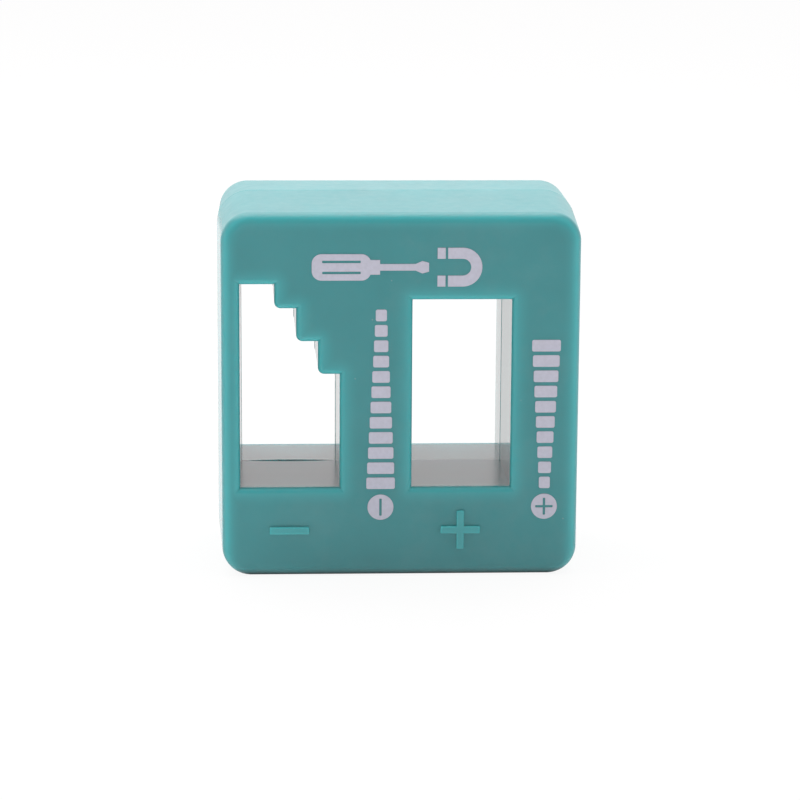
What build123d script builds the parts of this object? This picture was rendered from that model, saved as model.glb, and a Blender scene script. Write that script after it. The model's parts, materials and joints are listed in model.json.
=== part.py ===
from build123d import *
import os

# Pocket magnetizer and demagnetizer block. Millimetres, +Z up, front face towards -Y.
# Origin: centre of the footprint, on the surface that the block stands on.

# Housing
WIDTH = 50.0             # across the joint, where the housing is widest
HEIGHT = 51.2            # at the joint
DEPTH = 28.0             # from the raised marks to the back
FACE_WIDTH = 48.6        # front face, before its edge is rounded
FACE_HEIGHT = 50.25
BACK_WIDTH = 49.4        # back face, before its edge is rounded
BACK_HEIGHT = 51.1
CORNER_R = 4.6           # corners seen from the front, at the joint
FACE_CORNER_R = 3.9      # the same corners at the front and back faces
EDGE_R = 1.4             # rounding round the front and back faces
FRONT_SHELL_DEPTH = 16.0
WALL = 1.5               # outer walls
FACE_WALL = 2.0          # front and back walls
SEAM_CHAMFER = 0.12      # fine groove where the two halves meet

# Marks moulded on the front face
MARK_RELIEF = 0.4
MARK_LENGTH = 5.4
MARK_STROKE = 1.03
MARK_EDGE_R = 0.15
MARK_CORNER_R = 0.18
MARK_Z = 6.55
MINUS_X = -15.15
PLUS_X = 8.25

# Windows, measured at the front face
WINDOW_BOTTOM = 12.47
LEFT_WINDOW_X = (-21.84, -8.3)
LEFT_WINDOW_TOP = 40.62
RIGHT_WINDOW_X = (1.56, 15.05)
RIGHT_WINDOW_TOP = 38.49
STEP_COUNT = 3
STEP_RUN = 2.95
STEP_RISE = 4.53
FIRST_TREAD_Z = 28.26
STEP_CORNER_R = 0.85
RIM_R = 0.8              # rounding round each window's mouth
WINDOW_DRAFT = 0.14      # each sleeve wall leans in by this much from mouth to joint
REAR_SIDE_STEP = 0.04    # the rear sleeves' side walls stand in by this much more at the joint
FLOOR_BOW = 0.12         # the floor of the stepped window's rear sleeve bows up by this much at the joint
SLEEVE_WALL = 1.6
CUT_MARGIN = 0.3         # how far a cut runs past the surface that it opens

# Magnets: two equal ferrite blocks
MAGNET_THICKNESS = 6.0
MAGNET_DEPTH = 23.0
MAGNET_HEIGHT = 40.0
MAGNET_EDGE = 0.4        # bevel on the ground edges
MAGNET_BOTTOM = 6.5
WEB_MAGNET_X = -3.42
SIDE_MAGNET_X = 19.8
POCKET_GAP = 0.15
POCKET_WALL = 1.2

# Locating pins on the front shell and their sockets in the rear cover
PIN_PLACES = ((-15.15, 6.4), (8.25, 6.4), (-18.6, 45.3), (8.25, 44.4))
PIN_R = 1.1
PIN_LENGTH = 3.0
PIN_CHAMFER = 0.3
PIN_GAP = 0.05           # radial clearance in the socket
BOSS_R = 2.6
SOCKET_DEPTH = 3.6

# Tongue on the rear cover that enters the front shell
TONGUE_THICKNESS = 0.8
TONGUE_HEIGHT = 1.2
TONGUE_ROOT = 1.8
TONGUE_GAP = 0.1

# Printed ink
INK = 0.05
LEFT_PRINT_X = -2.7
RIGHT_PRINT_X = 19.75
LADDER_WIDTH = 3.9
LADDER_BOTTOM = 12.32
RUNG_PITCH = 2.12
RUNG_HEIGHT = 1.6
RUNG_CORNER_R = 0.25
SHORTEST_RUNG = 1.5
LEFT_RUNGS = 12
RIGHT_RUNGS = 10
DISC_R = 1.78
DISC_Z = 9.75
SIGN_LENGTH = 2.4
SIGN_STROKE = 0.34
SIGN_CORNER_R = 0.1

# Printed pictogram: a screwdriver drawn towards a horseshoe magnet
PICTOGRAM_X = -0.6
PICTOGRAM_Z = 43.02
PICTOGRAM_WIDTH = 23.0
HANDLE_LENGTH = 8.0
HANDLE_HEIGHT = 3.6
HANDLE_CORNER_R = 1.3
FLUTE_LENGTH = 5.2
FLUTE_SPACING = 1.5
COLLAR_LENGTH = 1.2      # beyond the handle's end, and as much again over it
COLLAR_HEIGHT = 2.0
SHAFT_LENGTH = 4.8
SHAFT_HEIGHT = 0.9
TIP_LENGTH = 1.8
TIP_WIDEST = 1.7
TIP_EDGE = 1.2
MAGNET_SIGN_R = 2.65
MAGNET_SIGN_BAR = 1.5
MAGNET_SIGN_ARM = 3.4
POLE_LENGTH = 1.25

FRONT_Y = -DEPTH / 2 + MARK_RELIEF
BACK_Y = DEPTH / 2
JOINT_Y = FRONT_Y + FRONT_SHELL_DEPTH


def on_plane(y, sketch):
    """Stand a sketch upright at depth y: its x runs along X, its y along Z."""
    return Plane.XZ.offset(-y) * sketch


def block_section(width, height, corner_r, inset=0.0):
    """Outline of the housing standing on its flat bottom, or the same outline inset by a wall."""
    outline = RectangleRounded(width - 2 * inset, height - 2 * inset, corner_r - inset)
    return Pos(0, height / 2) * outline


def edges_at(shape, y):
    """The edges that lie in the upright plane at depth y."""
    return shape.edges().filter_by_position(Axis.Y, y - 0.01, y + 0.01)


def draft_block(face_y, face_width, face_height):
    """One solid half of the housing, widest at the joint, with its outer edge rounded."""
    seam_y = JOINT_Y + (-SEAM_CHAMFER if face_y < JOINT_Y else SEAM_CHAMFER)
    face = on_plane(face_y, block_section(face_width, face_height, FACE_CORNER_R))
    seam = on_plane(seam_y, block_section(WIDTH, HEIGHT, CORNER_R))
    joint = on_plane(JOINT_Y, block_section(WIDTH, HEIGHT, CORNER_R, SEAM_CHAMFER))
    block = loft([face, seam, joint], ruled=True)
    return fillet(edges_at(block, face_y), EDGE_R)


def stepped_window(inset=0.0, side_step=0.0, bow=0.0):
    """Outline of the left window: plain left side and floor, stairs down its upper right."""
    left = LEFT_WINDOW_X[0] + inset + side_step
    right = LEFT_WINDOW_X[1] - inset - side_step
    bottom = WINDOW_BOTTOM + inset
    top = LEFT_WINDOW_TOP - inset
    points = [(right, bottom)]
    nosings = []
    for step in range(STEP_COUNT):
        tread = FIRST_TREAD_Z + step * STEP_RISE - inset
        points.append((right - step * STEP_RUN, tread))
        points.append((right - (step + 1) * STEP_RUN, tread))
        nosings.append(points[-1])
    points.append((right - STEP_COUNT * STEP_RUN, top))
    points.append((left, top))
    points.append((left, bottom))
    if bow:
        floor = ThreePointArc((left, bottom), ((left + right) / 2, bottom + bow), (right, bottom))
    else:
        floor = Line((left, bottom), (right, bottom))
    outline = make_face(Polyline(*points) + floor)
    corners = [
        vertex
        for vertex in outline.vertices()
        if any(abs(vertex.X - x) + abs(vertex.Y - z) < 0.01 for x, z in nosings)
    ]
    return fillet(corners, STEP_CORNER_R)


def plain_window(inset=0.0, side_step=0.0):
    """Outline of the right window."""
    left, right = RIGHT_WINDOW_X
    height = RIGHT_WINDOW_TOP - WINDOW_BOTTOM
    centre = Pos((left + right) / 2, WINDOW_BOTTOM + height / 2)
    return centre * Rectangle(right - left - 2 * (inset + side_step), height - 2 * inset)


def mouth_rounding(outline, face_y, inward):
    """What is cut away to round a window's mouth: the waste outside a quarter circle, swept round it."""
    mouth = on_plane(face_y, outline).face()
    path = mouth.outer_wire()
    outward = (path % 0).cross(mouth.normal_at())
    profile_plane = Plane(path @ 0, x_dir=outward, z_dir=outward.cross(inward))
    reach = RIM_R * (1 - 0.5**0.5)
    waste = Polyline(
        (RIM_R, 0), (RIM_R, -CUT_MARGIN), (-CUT_MARGIN, -CUT_MARGIN), (-CUT_MARGIN, RIM_R), (0, RIM_R)
    )
    waste += ThreePointArc((0, RIM_R), (reach, reach), (RIM_R, 0))
    return sweep(profile_plane * make_face(waste), path=path, transition=Transition.RIGHT)


def window_cuts(face_y, side_step=0.0, bow=0.0):
    """What is cut away for the two windows in one half: rounded mouths, then sleeves that narrow."""
    side = 1 if face_y < JOINT_Y else -1
    sleeve_y = face_y + side * RIM_R
    mouths = (stepped_window(), plain_window())
    ends = (stepped_window(WINDOW_DRAFT, side_step, bow), plain_window(WINDOW_DRAFT, side_step))
    cuts = []
    for mouth, end in zip(mouths, ends):
        cuts.append(prism(face_y, sleeve_y, mouth))
        cuts.append(loft([on_plane(sleeve_y, mouth), on_plane(JOINT_Y, end)], ruled=True))
        cuts.append(mouth_rounding(mouth, face_y, Vector(0, side, 0)))
    return cuts


def magnet_centres():
    """Where the two magnets stand, as X and Z of their centres."""
    middle = MAGNET_BOTTOM + MAGNET_HEIGHT / 2
    return (WEB_MAGNET_X, middle), (SIDE_MAGNET_X, middle)


def pocket_openings():
    """The two magnet pockets, seen from the front."""
    width = MAGNET_THICKNESS + 2 * POCKET_GAP
    height = MAGNET_HEIGHT + 2 * POCKET_GAP
    return [Pos(x, z) * Rectangle(width, height) for x, z in magnet_centres()]


def wall_pattern():
    """What stands inside the housing, seen from the front and filled in: sleeves, pockets, bosses."""
    pattern = offset(stepped_window(), SLEEVE_WALL, kind=Kind.INTERSECTION)
    pattern += offset(plain_window(), SLEEVE_WALL, kind=Kind.INTERSECTION)
    for opening in pocket_openings():
        pattern += offset(opening, POCKET_WALL, kind=Kind.INTERSECTION)
    for x, z in PIN_PLACES:
        pattern += Pos(x, z) * Circle(BOSS_R)
    return pattern


def prism(y_from, y_to, sketch):
    """An upright sketch, given thickness from one depth to another."""
    return extrude(on_plane(y_from, sketch), y_to - y_from, dir=(0, 1, 0))


def cavity(face_y, face_width, face_height):
    """The hollow of one half: all inside the outer walls, less the inner walls."""
    inner_y = face_y + (FACE_WALL if face_y < JOINT_Y else -FACE_WALL)
    face = on_plane(inner_y, block_section(face_width, face_height, FACE_CORNER_R, WALL))
    joint = on_plane(JOINT_Y, block_section(WIDTH, HEIGHT, CORNER_R, WALL))
    hollow = loft([face, joint], ruled=True) - prism(inner_y, JOINT_Y, wall_pattern())
    for opening in pocket_openings():
        hollow += prism(inner_y, JOINT_Y, opening)
    return hollow


def housing_half(face_y, face_width, face_height, side_step=0.0, bow=0.0):
    """One half of the housing: rounded block, windows with rounded mouths, hollow inside."""
    half = draft_block(face_y, face_width, face_height)
    for cut in window_cuts(face_y, side_step, bow):
        half -= cut
    return half - cavity(face_y, face_width, face_height)


def bar(length, stroke, corner_r):
    """A minus sign: one level bar."""
    return RectangleRounded(length, stroke, corner_r)


def cross(length, stroke, corner_r):
    """A plus sign: two equal bars, crossed."""
    level = bar(length, stroke, corner_r)
    return level + Rot(0, 0, 90) * level


def raised_mark(sign):
    """A mark that stands proud of the front face, with its top edges rounded."""
    top_y = FRONT_Y - MARK_RELIEF
    mark = prism(FRONT_Y + FACE_WALL / 2, top_y, sign)
    return fillet(edges_at(mark, top_y), MARK_EDGE_R)


def locating_pin(x, z):
    """A pin that stands on the front shell's joint face."""
    pin = prism(JOINT_Y - PIN_LENGTH, JOINT_Y + PIN_LENGTH, Pos(x, z) * Circle(PIN_R))
    return chamfer(edges_at(pin, JOINT_Y + PIN_LENGTH), PIN_CHAMFER)


def make_front_shell():
    """Front half of the housing, with the raised marks and the locating pins."""
    shell = housing_half(FRONT_Y, FACE_WIDTH, FACE_HEIGHT)
    shell += raised_mark(Pos(MINUS_X, MARK_Z) * bar(MARK_LENGTH, MARK_STROKE, MARK_CORNER_R))
    shell += raised_mark(Pos(PLUS_X, MARK_Z) * cross(MARK_LENGTH, MARK_STROKE, MARK_CORNER_R))
    for x, z in PIN_PLACES:
        shell += locating_pin(x, z)
    return shell


def tongue():
    """The rim that centres the two halves: a ring just inside the wall, broken at the inner walls."""
    outer = block_section(WIDTH, HEIGHT, CORNER_R, WALL + TONGUE_GAP)
    inner = block_section(WIDTH, HEIGHT, CORNER_R, WALL + TONGUE_GAP + TONGUE_THICKNESS)
    root = block_section(WIDTH, HEIGHT, CORNER_R, WALL / 2)
    ring = prism(JOINT_Y - TONGUE_HEIGHT, JOINT_Y, outer - inner)
    ring += prism(JOINT_Y, JOINT_Y + TONGUE_ROOT, root - inner)
    blocked = offset(wall_pattern(), TONGUE_GAP, kind=Kind.INTERSECTION)
    return ring - prism(JOINT_Y - TONGUE_HEIGHT, JOINT_Y + TONGUE_ROOT, blocked)


def make_rear_cover():
    """Rear half of the housing, with its tongue and the sockets for the pins."""
    cover = housing_half(BACK_Y, BACK_WIDTH, BACK_HEIGHT, REAR_SIDE_STEP, FLOOR_BOW)
    cover += tongue()
    for x, z in PIN_PLACES:
        cover -= prism(JOINT_Y, JOINT_Y + SOCKET_DEPTH, Pos(x, z) * Circle(PIN_R + PIN_GAP))
    return cover


def make_magnet(x, z):
    """A ferrite block with bevelled edges, centred in the depth of the hollow."""
    block = Box(MAGNET_THICKNESS, MAGNET_DEPTH, MAGNET_HEIGHT)
    return Pos(x, (FRONT_Y + BACK_Y) / 2, z) * chamfer(block.edges(), MAGNET_EDGE)


def printed(sketch):
    """A layer of ink on the front face."""
    return prism(FRONT_Y, FRONT_Y - INK, sketch)


def make_ladder(x, lengths):
    """A ladder of printed bars that climbs beside a window, one bar for each length."""
    bars = Sketch()
    for index, length in enumerate(lengths):
        z = LADDER_BOTTOM + RUNG_HEIGHT / 2 + index * RUNG_PITCH
        bars += Pos(x, z) * RectangleRounded(length, RUNG_HEIGHT, RUNG_CORNER_R)
    return printed(bars)


def rung_lengths(count):
    """Bar lengths that shrink evenly from the ladder's width to the shortest bar."""
    shrink = (LADDER_WIDTH - SHORTEST_RUNG) / (count - 1)
    return [LADDER_WIDTH - index * shrink for index in range(count)]


def make_disc(x, sign):
    """A printed disc with its sign left open."""
    return printed(Pos(x, DISC_Z) * (Circle(DISC_R) - sign))


def screwdriver_sketch():
    """A flat screwdriver that points to the right, its handle's end at x = 0."""
    drawing = Pos(HANDLE_LENGTH / 2, 0) * RectangleRounded(HANDLE_LENGTH, HANDLE_HEIGHT, HANDLE_CORNER_R)
    for z in (-FLUTE_SPACING / 2, FLUTE_SPACING / 2):
        drawing -= Pos(HANDLE_LENGTH / 2, z) * bar(FLUTE_LENGTH, SIGN_STROKE, SIGN_CORNER_R)
    drawing += Pos(HANDLE_LENGTH, 0) * Rectangle(2 * COLLAR_LENGTH, COLLAR_HEIGHT)
    shaft_end = HANDLE_LENGTH + COLLAR_LENGTH + SHAFT_LENGTH
    drawing += Pos(shaft_end - SHAFT_LENGTH / 2, 0) * Rectangle(SHAFT_LENGTH, SHAFT_HEIGHT)
    tip_middle = shaft_end + TIP_LENGTH / 2
    tip_end = shaft_end + TIP_LENGTH
    upper = [(shaft_end, SHAFT_HEIGHT / 2), (tip_middle, TIP_WIDEST / 2), (tip_end, TIP_EDGE / 2)]
    lower = [(x, -z) for x, z in reversed(upper)]
    return drawing + make_face(Polyline(*upper, *lower, close=True))


def magnet_sketch():
    """A horseshoe magnet that opens to the left, with a thin break behind each pole."""
    inner_r = MAGNET_SIGN_R - MAGNET_SIGN_BAR
    arms = Pos(-MAGNET_SIGN_ARM / 2, 0)
    outside = Circle(MAGNET_SIGN_R) + arms * Rectangle(MAGNET_SIGN_ARM, 2 * MAGNET_SIGN_R)
    inside = Circle(inner_r) + arms * Rectangle(MAGNET_SIGN_ARM, 2 * inner_r)
    pole_break = Pos(POLE_LENGTH - MAGNET_SIGN_ARM, 0) * Rectangle(SIGN_STROKE, 2 * MAGNET_SIGN_R)
    return outside - inside - pole_break


def make_pictogram():
    """A screwdriver drawn towards a horseshoe magnet."""
    screwdriver = Pos(-PICTOGRAM_WIDTH / 2, 0) * screwdriver_sketch()
    magnet = Pos(PICTOGRAM_WIDTH / 2 - MAGNET_SIGN_R, 0) * magnet_sketch()
    return printed(Pos(PICTOGRAM_X, PICTOGRAM_Z) * (screwdriver + magnet))


web_place, side_place = magnet_centres()
SIGN_SHAPE = (SIGN_LENGTH, SIGN_STROKE, SIGN_CORNER_R)
nodes = {
    "front_shell": make_front_shell(),
    "rear_cover": make_rear_cover(),
    "web_magnet": make_magnet(*web_place),
    "side_magnet": make_magnet(*side_place),
    "minus_disc": make_disc(LEFT_PRINT_X, Rot(0, 0, 90) * bar(*SIGN_SHAPE)),
    "plus_disc": make_disc(RIGHT_PRINT_X, cross(*SIGN_SHAPE)),
    "demagnetize_ladder": make_ladder(LEFT_PRINT_X, rung_lengths(LEFT_RUNGS)),
    "magnetize_ladder": make_ladder(RIGHT_PRINT_X, rung_lengths(RIGHT_RUNGS)[::-1]),
    "tool_pictogram": make_pictogram(),
}
os.makedirs("parts", exist_ok=True)
for name, shape in nodes.items():
    export_step(shape, f"parts/{name}.step")
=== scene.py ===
import json
import math

import bpy
from mathutils import Matrix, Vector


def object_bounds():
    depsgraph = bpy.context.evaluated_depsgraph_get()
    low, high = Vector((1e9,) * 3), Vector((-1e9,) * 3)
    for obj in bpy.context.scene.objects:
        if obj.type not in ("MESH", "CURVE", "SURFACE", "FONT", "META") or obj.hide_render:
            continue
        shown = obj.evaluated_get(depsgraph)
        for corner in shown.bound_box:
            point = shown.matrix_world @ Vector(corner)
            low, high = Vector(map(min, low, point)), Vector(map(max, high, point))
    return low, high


# A two-window magnetizer and demagnetizer block of satin teal plastic, with printed marks.
# Everything is in metres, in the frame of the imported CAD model: the printed face looks towards -Y.
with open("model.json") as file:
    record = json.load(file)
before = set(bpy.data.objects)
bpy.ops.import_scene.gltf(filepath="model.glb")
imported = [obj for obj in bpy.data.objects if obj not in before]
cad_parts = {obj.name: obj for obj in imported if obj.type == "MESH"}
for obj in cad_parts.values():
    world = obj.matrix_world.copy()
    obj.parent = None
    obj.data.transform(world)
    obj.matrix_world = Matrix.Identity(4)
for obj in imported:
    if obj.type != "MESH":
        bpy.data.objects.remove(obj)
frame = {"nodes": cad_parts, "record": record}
cad_low, cad_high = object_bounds()
MM = 0.001

# Outlines seen from the front, as the corners (low x, low z) and (high x, high z)
FAR_BELOW = -1.0                         # an outline that starts here has no lower edge on the block
FACE = ((-24.3 * MM, FAR_BELOW), (24.3 * MM, 50.25 * MM))
FACE_CORNER = 3.9 * MM
WINDOW_FLOOR = 12.47 * MM
PLAIN_WINDOW = ((1.56 * MM, WINDOW_FLOOR), (15.05 * MM, 38.49 * MM))
STEPPED_LEFT = -21.84 * MM
STEPPED_RIGHT = -8.3 * MM
STEPPED_TOP = 40.62 * MM
STEPS = 3
FIRST_TREAD = 28.26 * MM                 # height of the lowest step
STEP_RUN = 2.95 * MM
STEP_RISE = 4.53 * MM
JOINT_Y = 2.4 * MM                       # where the two halves of each window sleeve meet
FOOTPRINT = (20.4 * MM, 12.5 * MM)       # half sizes of the flat that the block stands on

# Where the plastic's colour changes, mostly for painted light and shade; a pair is the start and the end of a
# fade
RELIEF_FADE = (0.3 * MM, 0.38 * MM)      # behind the fronts of the raised marks
SLEEVE_FADE = (0.02 * MM, 0.1 * MM)      # outside the windows' outlines
SLEEVE_ENDS = (12.4 * MM, 12.8 * MM)     # along Y, both ways from the middle
JOINT_FADE = (0.02 * MM, 0.06 * MM)      # away from the sleeves' joint
GLOW_INSET = 0.5 * MM                    # the glow is full from this far inside the face's outline
OUTLINE_GLOW = 1.9 * MM                  # how far the painted light along the outline reaches
MOUTH_GLOW = 2.6 * MM                    # the same at the windows' mouths
GLOW_FALLOFF = 1.6
GLOW_FADE = (-13.4 * MM, -12.9 * MM)     # Y, so that only the front face glows
# Height of the painted contact shade on the foot
FOOT_HEIGHT = 1.1 * MM
FOOT_FADE = (12.25 * MM, 12.45 * MM)     # along Y, from the flat bottom to its rounded edges
SPECK_SPACING = 3 * MM
SPECK_RADIUS = (0.07 * MM, 0.12 * MM)
SPECK_STRENGTH = 0.4
SIDEWAYS = (0.9, 0.99)                   # the part of a face's direction that lies along X

# Surfaces
TEAL = ((0.062, 0.346, 0.366, 1), (0.068, 0.368, 0.388, 1))
HAZE = (0.42, 0.50, 0.50, 1)
HAZE_STRENGTH = 0.08
SPECK = (0.45, 0.55, 0.55, 1)
# Painted light: a lighter, more saturated teal along the front face's outline and the windows' mouths, for
# light entering the rounded edges
EDGE_PAINTED_LIGHT = (0.078, 0.515, 0.535, 1)
# Painted light: a lighter teal on the raised marks, for the light their sides catch
RELIEF_PAINTED_LIGHT = (0.082, 0.47, 0.49, 1)
# Painted shade: dark teal low on the foot, a painted contact shadow
FOOT_PAINTED_SHADE = (0.006, 0.04, 0.042, 1)
# Painted light: a pale teal on the steps where the sleeve halves meet
JOINT_PAINTED_LIGHT = (0.35, 0.70, 0.72, 1)
# Painted shade: a darker teal inside the window sleeves
SLEEVE_PAINTED_SHADE = (0.025, 0.17, 0.175, 1)
SATIN = (0.32, 0.38)                     # lowest and highest roughness
FRONT_SLEEVE_ROUGHNESS = 0.2
REAR_SLEEVE_ROUGHNESS = 0.12
SIDE_ROUGHNESS = 0.12                    # faces that look sideways are smoother
SIDE_GRAIN = 0.1                         # and have this much of the grain
GRAIN_SIZE = 0.18 * MM
GRAIN_HEIGHT = 0.004 * MM
INK = ((0.60, 0.61, 0.715, 1), (0.65, 0.66, 0.775, 1))
FERRITE = ((0.030, 0.030, 0.032, 1), (0.060, 0.060, 0.063, 1))

# Camera
LENS = 134.96                            # on a sensor 36 mm wide
CAMERA_PLACE = (-0.01946, -0.41146, 0.11081)
CAMERA_YAW = 0.0486
CAMERA_PITCH = 0.2128
CAMERA_ROLL = 0.0060

# Floor and light
FLOOR_SIZE = 6.0
PAPER = (0.88, 0.88, 0.88, 1)
MIRRORED_PAPER = (0.08, 0.08, 0.08, 1)   # the paper's base colour, except to diffuse light
FLOOR_GLOW = 0.92                        # the lit paper's own brightness, so that shadows on it stay faint
FOOT_SHADE = 1.2 * MM                    # reach of the painted contact shadow round the footprint, in reflections
BACKDROP = (1.0, 1.0, 1.0, 1.0)
BRIGHT = (1.30, 1.22, 1.23, 1.0)         # light from behind the block
DIM = (0.36, 0.345, 0.345, 1.0)          # light from the camera's side, above it
DIM_TILT = math.radians(30)
DIM_FADE = (-0.3, 0.7)                   # cosine of the angle to the middle of the dim side
SOFTBOX_SIZE = 0.62
SOFTBOX_PLACE = (-0.08, 0.16, 0.55)
SOFTBOX_POWER = 3.0


def new_material(name):
    """A node material, with its node tree and its Principled shader."""
    material = bpy.data.materials.new(name)
    material.use_nodes = True
    return material, material.node_tree, material.node_tree.nodes["Principled BSDF"]


def add(tree, kind, **values):
    """A new node, with its inputs and settings given by name."""
    node = tree.nodes.new(kind)
    for name, value in values.items():
        if name in node.inputs:
            node.inputs[name].default_value = value
        else:
            setattr(node, name, value)
    return node


def connect(tree, value, socket):
    """Link another node's output to a socket, or set the socket to a number or a colour."""
    if isinstance(value, bpy.types.NodeSocket):
        tree.links.new(value, socket)
    else:
        socket.default_value = value


def axis(tree, output, name):
    """One axis of a coordinate output, such as the shaded point (Object) or the way it faces (Normal)."""
    place = add(tree, "ShaderNodeTexCoord")
    axes = add(tree, "ShaderNodeSeparateXYZ")
    connect(tree, place.outputs[output], axes.inputs[0])
    return axes.outputs[name]


def from_middle(tree, name):
    """How far the shaded point is from the middle of the block along X or Y."""
    return math_node(tree, "ABSOLUTE", axis(tree, "Object", name))


def math_node(tree, operation, first, second=0.0):
    """A sum, product or other operation on two values, each a number or a socket."""
    node = add(tree, "ShaderNodeMath", operation=operation)
    connect(tree, first, node.inputs[0])
    connect(tree, second, node.inputs[1])
    return node.outputs[0]


def remap(tree, value, low, high, to_low, to_high):
    """Value between low and high, stretched to run between two other values and kept between them."""
    node = add(tree, "ShaderNodeMapRange", clamp=True)
    connect(tree, value, node.inputs["Value"])
    node.inputs["From Min"].default_value = low
    node.inputs["From Max"].default_value = high
    node.inputs["To Min"].default_value = to_low
    node.inputs["To Max"].default_value = to_high
    return node.outputs["Result"]


def mix_colour(tree, factor, first, second):
    """First colour where factor is 0, second where it is 1; each a colour or a socket."""
    node = add(tree, "ShaderNodeMix", data_type="RGBA")
    connect(tree, factor, node.inputs["Factor"])
    connect(tree, first, node.inputs[6])
    connect(tree, second, node.inputs[7])
    return node.outputs[2]


def mix_number(tree, factor, first, second):
    """First value where factor is 0, second where it is 1; each a number or a socket."""
    node = add(tree, "ShaderNodeMix", data_type="FLOAT")
    connect(tree, factor, node.inputs["Factor"])
    connect(tree, first, node.inputs[2])
    connect(tree, second, node.inputs[3])
    return node.outputs[0]


def noise(tree, size, detail, roughness=0.5):
    """Noise whose features are about size metres across."""
    place = add(tree, "ShaderNodeTexCoord")
    node = add(tree, "ShaderNodeTexNoise", Detail=detail, Roughness=roughness)
    node.inputs["Scale"].default_value = 1 / size
    connect(tree, place.outputs["Object"], node.inputs["Vector"])
    return node.outputs["Fac"]


def mottle(tree, size, detail, low=0.0, high=1.0):
    """Noise spread between two values; most of the noise itself lies from 0.3 to 0.7."""
    return remap(tree, noise(tree, size, detail), 0.3, 0.7, low, high)


def outside_box(tree, corners):
    """How far the shaded point is outside an upright box that runs along Y; 0 inside it."""
    (x_low, z_low), (x_high, z_high) = corners
    place = add(tree, "ShaderNodeTexCoord")
    offset = add(tree, "ShaderNodeVectorMath", operation="SUBTRACT")
    connect(tree, place.outputs["Object"], offset.inputs[0])
    offset.inputs[1].default_value = ((x_low + x_high) / 2, 0, (z_low + z_high) / 2)
    size = add(tree, "ShaderNodeVectorMath", operation="ABSOLUTE")
    connect(tree, offset.outputs[0], size.inputs[0])
    excess = add(tree, "ShaderNodeVectorMath", operation="SUBTRACT")
    connect(tree, size.outputs[0], excess.inputs[0])
    excess.inputs[1].default_value = ((x_high - x_low) / 2, 1, (z_high - z_low) / 2)
    outside = add(tree, "ShaderNodeVectorMath", operation="MAXIMUM")
    connect(tree, excess.outputs[0], outside.inputs[0])
    length = add(tree, "ShaderNodeVectorMath", operation="LENGTH")
    connect(tree, outside.outputs[0], length.inputs[0])
    return length.outputs["Value"]


def from_windows(tree):
    """How far the shaded point is outside the windows' outlines, seen from the front; 0 inside them."""
    distance = outside_box(tree, PLAIN_WINDOW)
    for step in range(STEPS + 1):
        right = STEPPED_RIGHT - step * STEP_RUN
        top = min(FIRST_TREAD + step * STEP_RISE, STEPPED_TOP)
        box = outside_box(tree, ((STEPPED_LEFT, WINDOW_FLOOR), (right, top)))
        distance = math_node(tree, "MINIMUM", distance, box)
    return distance


def inside_windows(tree):
    """1 on the window sleeves, and 0 on the rest of the block; it places the sleeves' painted shade and
    smoother finish.
    """
    within = remap(tree, from_windows(tree), *SLEEVE_FADE, 1.0, 0.0)
    between = remap(tree, from_middle(tree, "Y"), *SLEEVE_ENDS, 1.0, 0.0)
    return math_node(tree, "MULTIPLY", within, between)


def on_relief(tree):
    """1 on the raised marks, which stand proud of the front face, and 0 behind them; it places their painted
    light.
    """
    start, end = RELIEF_FADE
    return remap(tree, axis(tree, "Object", "Y"), cad_low.y + start, cad_low.y + end, 1.0, 0.0)


def painted_edge_light(tree):
    """Painted light: 1 at the front face's outline and round its windows' mouths, fading to 0 away from them.
    """
    (x_low, z_low), (x_high, z_high) = FACE
    inner = ((x_low + FACE_CORNER, z_low), (x_high - FACE_CORNER, z_high - FACE_CORNER))
    rounded = FACE_CORNER - GLOW_INSET
    outline = remap(tree, outside_box(tree, inner), rounded - OUTLINE_GLOW, rounded, 0.0, 1.0)
    mouths = remap(tree, from_windows(tree), 0.0, MOUTH_GLOW, 1.0, 0.0)
    glow = math_node(tree, "POWER", math_node(tree, "MAXIMUM", outline, mouths), GLOW_FALLOFF)
    front = remap(tree, axis(tree, "Object", "Y"), *GLOW_FADE, 1.0, 0.0)
    return math_node(tree, "MULTIPLY", glow, front)


def off_joint(tree):
    """0 on the narrow steps where the two halves of each sleeve meet, and 1 elsewhere; the steps carry
    painted light.
    """
    from_joint = math_node(tree, "SUBTRACT", axis(tree, "Object", "Y"), JOINT_Y)
    return remap(tree, math_node(tree, "ABSOLUTE", from_joint), *JOINT_FADE, 0.0, 1.0)


def painted_foot_shade(tree):
    """Painted contact shade: 1 low on the rounded foot of the front and back, fading to 0 above it and on the
    flat bottom.
    """
    low = remap(tree, axis(tree, "Object", "Z"), 0.0, FOOT_HEIGHT, 1.0, 0.0)
    return math_node(tree, "MULTIPLY", low, remap(tree, from_middle(tree, "Y"), *FOOT_FADE, 0.0, 1.0))


def on_specks(tree):
    """How much of the speck colour shows: some on tiny dust specks, about 0.2 mm across, and 0 elsewhere."""
    place = add(tree, "ShaderNodeTexCoord")
    cells = add(tree, "ShaderNodeTexVoronoi")
    cells.inputs["Scale"].default_value = 1 / SPECK_SPACING
    connect(tree, place.outputs["Object"], cells.inputs["Vector"])
    start, end = SPECK_RADIUS
    distance = cells.outputs["Distance"]
    return remap(tree, distance, start / SPECK_SPACING, end / SPECK_SPACING, SPECK_STRENGTH, 0.0)


def facing_sideways(tree):
    """1 on faces that look along X, and 0 on the others."""
    return remap(tree, math_node(tree, "ABSOLUTE", axis(tree, "Normal", "X")), *SIDEWAYS, 0.0, 1.0)


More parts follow.
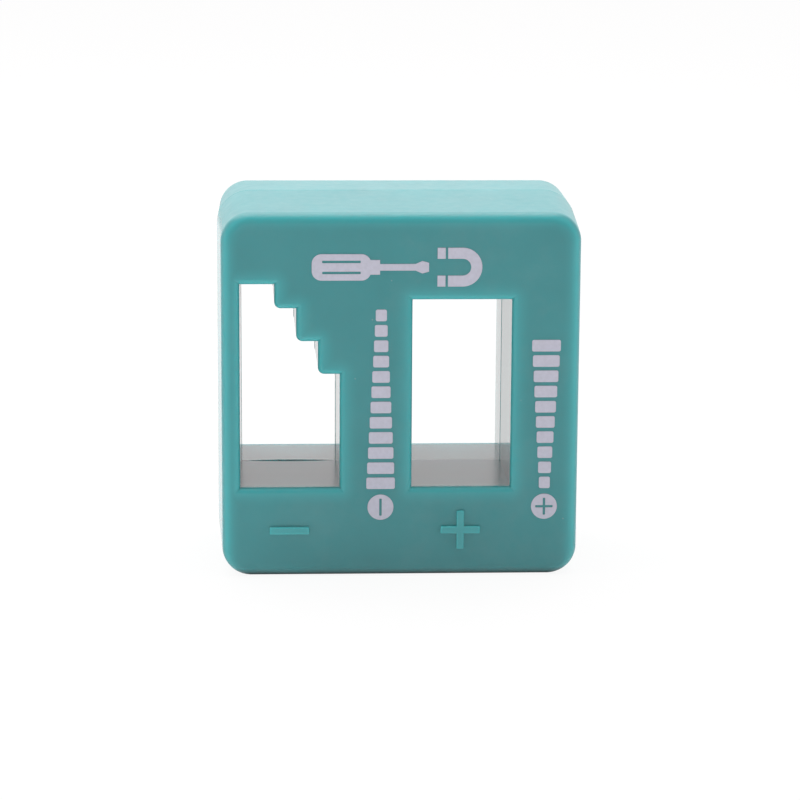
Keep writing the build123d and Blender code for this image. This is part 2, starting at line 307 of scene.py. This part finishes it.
def housing_colour(tree, inside):
    """Teal with a slight haze and specks, painted light at the thin edges, on the raised marks and on the
    sleeves' joint, and painted shade in the sleeves and at the foot.
    """
    haze = remap(tree, noise(tree, 9 * MM, 5.0, 0.6), 0.5, 0.75, 0.0, HAZE_STRENGTH)
    outer = mix_colour(tree, mottle(tree, 6 * MM, 3.0), *TEAL)
    outer = mix_colour(tree, haze, outer, HAZE)
    outer = mix_colour(tree, on_specks(tree), outer, SPECK)
    outer = mix_colour(tree, painted_edge_light(tree), outer, EDGE_PAINTED_LIGHT)
    outer = mix_colour(tree, on_relief(tree), outer, RELIEF_PAINTED_LIGHT)
    outer = mix_colour(tree, painted_foot_shade(tree), outer, FOOT_PAINTED_SHADE)
    sleeve_painted_light_and_shade = mix_colour(tree, off_joint(tree), JOINT_PAINTED_LIGHT, SLEEVE_PAINTED_SHADE)
    return mix_colour(tree, inside, outer, sleeve_painted_light_and_shade)


def housing_material(name, sleeve_roughness):
    """Satin teal plastic, slightly translucent, with a fine moulded grain and smoother window sleeves."""
    material, tree, shader = new_material(name)
    shader.inputs["IOR"].default_value = 1.54
    shader.inputs["Subsurface Weight"].default_value = 1.0
    shader.inputs["Subsurface Radius"].default_value = (0.35, 1.0, 1.0)
    shader.inputs["Subsurface Scale"].default_value = 0.8 * MM
    inside = inside_windows(tree)
    sideways = facing_sideways(tree)
    connect(tree, housing_colour(tree, inside), shader.inputs["Base Color"])
    rough = mix_number(tree, inside, mottle(tree, 1.2 * MM, 4.0, *SATIN), sleeve_roughness)
    rough = mix_number(tree, sideways, rough, SIDE_ROUGHNESS)
    connect(tree, rough, shader.inputs["Roughness"])
    grain = add(tree, "ShaderNodeBump", Distance=GRAIN_HEIGHT)
    connect(tree, noise(tree, GRAIN_SIZE, 3.0, 0.6), grain.inputs["Height"])
    connect(tree, remap(tree, sideways, 0.0, 1.0, 1.0, SIDE_GRAIN), grain.inputs["Strength"])
    connect(tree, grain.outputs["Normal"], shader.inputs["Normal"])
    return material


def ink_material():
    """Pale printing ink."""
    material, tree, shader = new_material("printing_ink")
    colour = mix_colour(tree, mottle(tree, 0.5 * MM, 3.0), *INK)
    connect(tree, colour, shader.inputs["Base Color"])
    connect(tree, mottle(tree, 0.3 * MM, 2.0, 0.5, 0.6), shader.inputs["Roughness"])
    return material


def ferrite_material():
    """Ground dark ferrite."""
    material, tree, shader = new_material("ground_ferrite")
    colour = mix_colour(tree, mottle(tree, 0.8 * MM, 4.0), *FERRITE)
    connect(tree, colour, shader.inputs["Base Color"])
    connect(tree, mottle(tree, 0.4 * MM, 2.0, 0.45, 0.7), shader.inputs["Roughness"])
    return material


def assign_materials():
    """Give the two shells their plastic, and every other node the material of its slot in the record."""
    by_node = {
        "front_shell": housing_material("front_plastic", FRONT_SLEEVE_ROUGHNESS),
        "rear_cover": housing_material("rear_plastic", REAR_SLEEVE_ROUGHNESS),
    }
    by_slot = {"ink": ink_material(), "ferrite": ferrite_material()}
    for part in frame["record"]["subparts"]:
        material = by_node.get(part["node"]) or by_slot[part["material_slot"]]
        for slot in frame["nodes"][part["node"]].material_slots:
            slot.material = material


def paper_material():
    """White paper with its own glow; in reflections it carries a painted contact shadow round where the block
    stands on it.
    """
    material, tree, shader = new_material("floor_paper")
    path = add(tree, "ShaderNodeLightPath")
    diffuse = path.outputs["Is Diffuse Ray"]
    connect(tree, mix_colour(tree, diffuse, MIRRORED_PAPER, PAPER), shader.inputs["Base Color"])
    past_x = math_node(tree, "SUBTRACT", from_middle(tree, "X"), FOOTPRINT[0])
    past_y = math_node(tree, "SUBTRACT", from_middle(tree, "Y"), FOOTPRINT[1])
    past_footprint = math_node(tree, "MAXIMUM", past_x, past_y)
    open_floor = remap(tree, past_footprint, 0.0, FOOT_SHADE, 0.0, 1.0)
    lit = math_node(tree, "MAXIMUM", open_floor, path.outputs["Is Camera Ray"])
    glow = remap(tree, diffuse, 0.0, 1.0, FLOOR_GLOW, 0.0)
    connect(tree, math_node(tree, "MULTIPLY", glow, lit), shader.inputs["Emission Strength"])
    shader.inputs["Emission Color"].default_value = (1, 1, 1, 1)
    shader.inputs["Specular IOR Level"].default_value = 0.0
    shader.inputs["Roughness"].default_value = 0.9
    return material


def make_floor():
    """A white paper floor that reaches past the view on every side."""
    bpy.ops.mesh.primitive_plane_add(size=FLOOR_SIZE, location=(0, 0, cad_low.z))
    floor = bpy.context.object
    floor.name = "floor"
    floor.data.materials.append(paper_material())


def make_world():
    """Soft studio light: bright behind the block, dimmer on the camera's side."""
    world = bpy.data.worlds.new("studio")
    world.use_nodes = True
    bpy.context.scene.world = world
    tree = world.node_tree
    direction = add(tree, "ShaderNodeTexCoord")
    facing = add(tree, "ShaderNodeVectorMath", operation="DOT_PRODUCT")
    connect(tree, direction.outputs["Generated"], facing.inputs[0])
    facing.inputs[1].default_value = (0, -math.cos(DIM_TILT), math.sin(DIM_TILT))
    light = mix_colour(tree, remap(tree, facing.outputs["Value"], *DIM_FADE, 0.0, 1.0), BRIGHT, DIM)
    path = add(tree, "ShaderNodeLightPath")
    seen = mix_colour(tree, path.outputs["Is Camera Ray"], light, BACKDROP)
    connect(tree, seen, tree.nodes["Background"].inputs["Color"])


def make_softbox():
    """One large soft light overhead, slightly behind the block."""
    data = bpy.data.lights.new("softbox", "AREA")
    data.size = SOFTBOX_SIZE
    data.energy = SOFTBOX_POWER
    softbox = bpy.data.objects.new("softbox", data)
    softbox.location = SOFTBOX_PLACE
    bpy.context.collection.objects.link(softbox)


def make_camera():
    """A long lens, slightly above the block and to its left."""
    data = bpy.data.cameras.new("camera")
    data.lens = LENS
    data.sensor_width = 36.0
    camera = bpy.data.objects.new("camera", data)
    bpy.context.collection.objects.link(camera)
    turn = Matrix.Rotation(-CAMERA_YAW, 4, "Z")
    tilt = Matrix.Rotation(math.pi / 2 - CAMERA_PITCH, 4, "X")
    roll = Matrix.Rotation(CAMERA_ROLL, 4, "Z")
    camera.matrix_world = Matrix.Translation(CAMERA_PLACE) @ turn @ tilt @ roll
    bpy.context.scene.camera = camera


make_camera()
make_world()
make_softbox()
make_floor()
assign_materials()
bpy.context.scene.view_settings.view_transform = "Standard"
